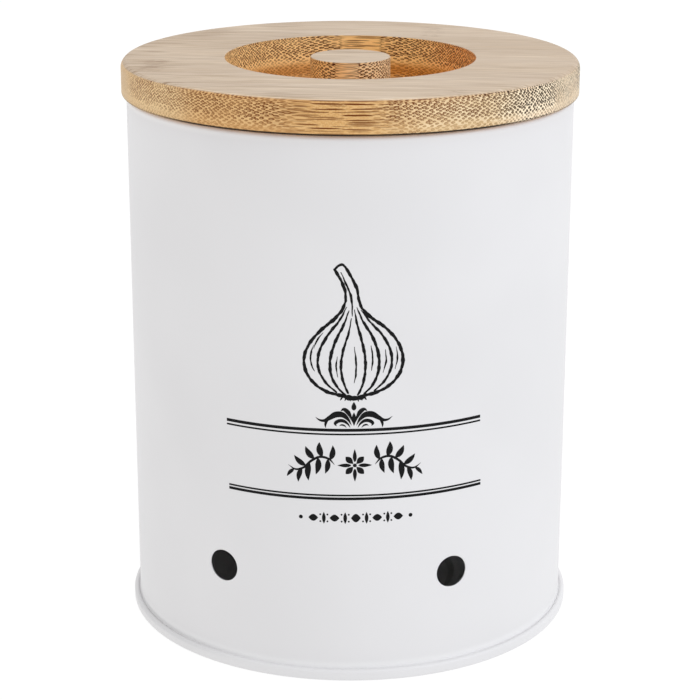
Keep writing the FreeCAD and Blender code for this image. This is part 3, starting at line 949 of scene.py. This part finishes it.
# cloves: ribs from the neck to the root plate
b_stroke([(-1.7, 101.9, .12), (-3.4, 98.6, .34), (-6.4, 94.6, .42), (-8.7, 90.0, .42), (-8.9, 85.8, .40), (-7.0, 82.0, .36), (-4.4, 79.6, .26)], 7)
b_stroke([(-1.1, 101.0, .12), (-2.4, 97.4, .36), (-4.6, 92.8, .44), (-5.9, 88.0, .46), (-5.6, 83.8, .42), (-3.9, 80.6, .36), (-2.2, 78.9, .28)], 8)
b_stroke([(-0.5, 99.0, .10), (-1.2, 95.2, .30), (-2.6, 90.6, .38), (-3.2, 86.4, .40), (-2.7, 82.6, .38), (-1.5, 79.4, .32)], 9)
b_stroke([(0.3, 101.2, .12), (0.9, 97.6, .34), (2.0, 93.4, .42), (2.9, 88.6, .42), (2.8, 84.2, .40), (1.9, 80.6, .36), (1.0, 78.9, .28)], 10)
b_stroke([(0.9, 101.8, .12), (2.4, 98.2, .36), (4.8, 94.0, .44), (6.3, 89.2, .48), (6.2, 84.9, .44), (4.6, 81.2, .38), (2.7, 79.2, .28)], 11)
b_stroke([(1.9, 101.2, .10), (4.2, 98.0, .32), (7.3, 94.4, .40), (9.4, 90.0, .42), (9.5, 86.0, .40), (7.8, 82.4, .36), (5.2, 79.9, .24)], 12)
# short shading lines
b_stroke([(-10.0, 92.0, .08), (-10.8, 89.4, .26), (-10.7, 86.9, .24), (-9.9, 85.0, .08)], 13)
b_stroke([(-7.6, 95.3, .08), (-9.3, 92.9, .24), (-10.0, 91.0, .08)], 14)
b_stroke([(-4.1, 89.0, .08), (-4.4, 86.2, .24), (-4.0, 83.6, .08)], 15)
b_stroke([(0.2, 91.5, .08), (0.6, 87.6, .28), (0.5, 84.0, .24), (0.1, 82.0, .08)], 16)
b_stroke([(4.4, 91.8, .08), (4.8, 88.4, .28), (4.5, 85.2, .08)], 17)
b_stroke([(8.0, 90.6, .08), (8.2, 87.6, .26), (7.4, 84.6, .08)], 18)
b_stroke([(10.8, 91.2, .08), (11.1, 88.2, .24), (10.5, 85.4, .08)], 19)
# root plate with rootlets
b_stroke([(-3.3, 78.9, .30), (-1.6, 78.2, .70), (0.2, 78.0, .80), (1.9, 78.2, .70), (3.2, 78.9, .30)], 20)
for i, (s, ln, lean) in enumerate([(-2.9, .8, -.5), (-2.0, 1.0, -.3), (-1.0, 1.1, .2), (0.0, 1.0, -.2), (0.9, 1.15, .3), (1.9, .95, .2), (2.7, .8, .5)]):
    b_stroke([(s, 78.3, .26), (s + lean * .5, 78.3 - ln * .6, .22), (s + lean, 78.3 - ln, .08)], 30 + i)
bulb.build("print_bulb")

# ---- palmette on the upper rule, a traditional ornament
palm = Print()
PS, PZ = 1.2, 69.9
palm.leaf((PS, PZ + 4.8), (PS, PZ + 7.1), 1.25, belly=0.36)
palm.leaf((PS, PZ + 0.6), (PS, PZ + 4.3), 1.05, belly=0.55)
for m in (1, -1):
    P = lambda pts: [(PS + m * a, PZ + b, w) for a, b, w in pts]
    palm.ribbon(smooth_line(P([(0.30, 1.5, .05), (0.85, 3.1, .70), (1.65, 4.5, 1.15), (2.6, 5.10, .85), (3.4, 4.65, .04)]), 0.12))
    palm.ribbon(smooth_line(P([(0.60, 0.8, .05), (1.55, 2.5, .80), (2.9, 3.65, 1.45), (4.6, 3.70, 1.60), (6.1, 2.85, 1.20), (7.5, 2.05, .80), (8.7, 2.15, .50), (9.8, 2.9, .04)]), 0.12))
    palm.ribbon(smooth_line(P([(5.9, 2.9, .04), (6.9, 2.0, .70), (7.25, 1.0, .58), (7.2, 0.1, .08)]), 0.12))
    palm.ribbon(smooth_line(P([(0.95, 0.2, .05), (1.65, 1.3, .55), (2.8, 2.05, .88), (4.0, 1.95, .92), (4.75, 1.30, .80), (4.45, 0.60, .05)]), 0.10))
    palm.ribbon(smooth_line(P([(1.9, 0.2, .05), (2.5, 0.80, .40), (3.2, 0.95, .40), (3.7, 0.70, .05)]), 0.10))
palm.build("print_palmette")

# ---- leafy sprig between the rules
sprig = Print()
SS, SZ = 1.35, 59.9


def sp(points, m):
    return [(SS + m * a, SZ + b, w) for a, b, w in points]


# a small four-leaved rosette in the middle
for k in range(4):
    a = pi / 4 + k * pi / 2
    sprig.leaf((SS + 0.55 * cos(a), SZ + 0.55 * sin(a)), (SS + 3.3 * cos(a), SZ + 3.3 * sin(a)), 1.60, belly=0.55)
for k in range(4):
    a = k * pi / 2
    sprig.leaf((SS + 0.9 * cos(a), SZ + 0.9 * sin(a)), (SS + 4.4 * cos(a), SZ + 4.4 * sin(a)), 1.00, belly=0.4)
sprig.dot(SS, SZ, 0.5)
stem = [(5.2, 0.2, .10), (6.6, 1.7, .55), (8.9, 2.2, .64), (11.2, 1.0, .64), (13.2, -0.9, .58), (15.3, -1.5, .48), (17.2, -0.4, .05)]
for m in (1, -1):
    sprig.ribbon(smooth_line(sp(stem, m), 0.15))
    for a, b, w, bend in [
        ((6.3, 1.5), (5.6, 5.4), 1.20, 0.35), ((8.3, 2.3), (9.0, 6.2), 1.35, -0.35), ((10.4, 1.7), (12.6, 4.9), 1.30, -0.35),
        ((12.6, -0.3), (15.6, 2.3), 1.15, -0.30), ((6.9, 1.6), (7.6, -2.3), 1.15, -0.30), ((9.4, 1.9), (10.0, -2.6), 1.30, -0.35),
        ((11.6, 0.5), (11.9, -4.4), 1.30, 0.35), ((13.6, -1.1), (14.6, -4.9), 1.10, 0.30), ((15.6, -1.4), (17.6, -3.6), 0.80, 0.20)]:
        sprig.leaf((SS + m * a[0], SZ + a[1]), (SS + m * b[0], SZ + b[1]), w * 1.22, bend * m, belly=0.42)
sprig.build("print_sprig")

# ---- small row under the lower rule: dots and lozenges
row = Print()
RS, RZ = 1.55, 45.45
for m in (1, -1):
    row.dot(RS + m * 14.25, RZ, 0.52)
for k in range(-4, 5):
    s = RS + k * 2.75
    if k % 2 == 0:
        row.leaf((s - 1.25, RZ), (s + 1.25, RZ), 1.9 if k else 2.3, belly=0.5)
    else:
        row.leaf((s, RZ - 1.6), (s, RZ + 1.6), 0.95, belly=0.5)
        row.dot(s - 0.92, RZ + 0.95, 0.24)
        row.dot(s + 0.92, RZ + 0.95, 0.24)
        row.dot(s - 0.92, RZ - 0.95, 0.24)
        row.dot(s + 0.92, RZ - 0.95, 0.24)
row.build("print_row")

# ------------------------------------------------------------------ stage, light and camera
floor = bpy.data.meshes.new("floor")
size = 12.0
floor.from_pydata([(-size, -size, 0), (size, -size, 0), (size, size, 0), (-size, size, 0)], [], [(0, 1, 2, 3)])
floor_obj = bpy.data.objects.new("floor", floor)
scene.collection.objects.link(floor_obj)
fm, ft, fb = material("pale_floor")
fb.inputs["Base Color"].default_value = (0.14, 0.14, 0.14, 1)
fb.inputs["Roughness"].default_value = 0.9
fb.inputs["Specular IOR Level"].default_value = 0.0
fb.inputs["Emission Color"].default_value = (1, 1, 1, 1)
fb.inputs["Emission Strength"].default_value = 0.88
floor.materials.append(fm)

world = bpy.data.worlds.new("studio")
scene.world = world
world.use_nodes = True
wt = world.node_tree
wt.nodes.clear()
wout = wt.nodes.new("ShaderNodeOutputWorld")
seen = wt.nodes.new("ShaderNodeBackground")
seen.inputs["Color"].default_value = (1, 1, 1, 1)
seen.inputs["Strength"].default_value = 1.02
soft = wt.nodes.new("ShaderNodeBackground")
tc = wt.nodes.new("ShaderNodeTexCoord")
gx_, gy_, gz_ = split(wt, tc.outputs["Generated"])
glow = gx_.step(-1.0, 1.0, 0.70, 0.84) + gy_.step(0.3, 1.0, 0.0, 0.24) + gz_.step(0.1, 1.0, 0.0, 0.42) + gx_.step(-0.6, -1.0, 0.0, 0.14)
put(wt, soft.inputs["Color"], (1.0, 1.0, 1.0, 1.0))
put(wt, soft.inputs["Strength"], glow)
lp = wt.nodes.new("ShaderNodeLightPath")
mixw = wt.nodes.new("ShaderNodeMixShader")
wt.links.new(lp.outputs["Is Camera Ray"], mixw.inputs[0])
wt.links.new(soft.outputs[0], mixw.inputs[1])
wt.links.new(seen.outputs[0], mixw.inputs[2])
wt.links.new(mixw.outputs[0], wout.inputs["Surface"])


def area(name, pos, target, size_xy, watts, colour):
    light = bpy.data.lights.new(name, "AREA")
    light.shape = "RECTANGLE"
    light.size, light.size_y = size_xy
    light.energy = watts
    light.color = colour
    obj = bpy.data.objects.new(name, light)
    scene.collection.objects.link(obj)
    obj.location = pos
    obj.rotation_euler = (Vector(target) - Vector(pos)).to_track_quat("-Z", "Y").to_euler()
    return obj


area("softbox_right", (1.1, -0.75, 0.75), (0, 0, 0.07), (0.9, 0.9), 4.3, (0.80, 0.88, 1.0))

scene.view_settings.view_transform = "Standard"
scene.view_settings.look = "None"
scene.view_settings.exposure = 0.0
scene.view_settings.gamma = 1.0

cam_data = bpy.data.cameras.new("camera")
cam_data.sensor_fit = "HORIZONTAL"
cam_data.sensor_width = 36.0
cam_data.lens = 2168.6 * 36.0 / 700.0
cam_data.clip_start = 0.02
cam = bpy.data.objects.new("camera", cam_data)
scene.collection.objects.link(cam)
cam.location = ((350.0 - 349.8) / 2168.6 * 0.632, -0.5774, 0.2554)
cam.rotation_euler = (pi / 2 - 0.3081, -0.0019, 0.0006)                # rolled by a tenth of a degree
scene.camera = cam
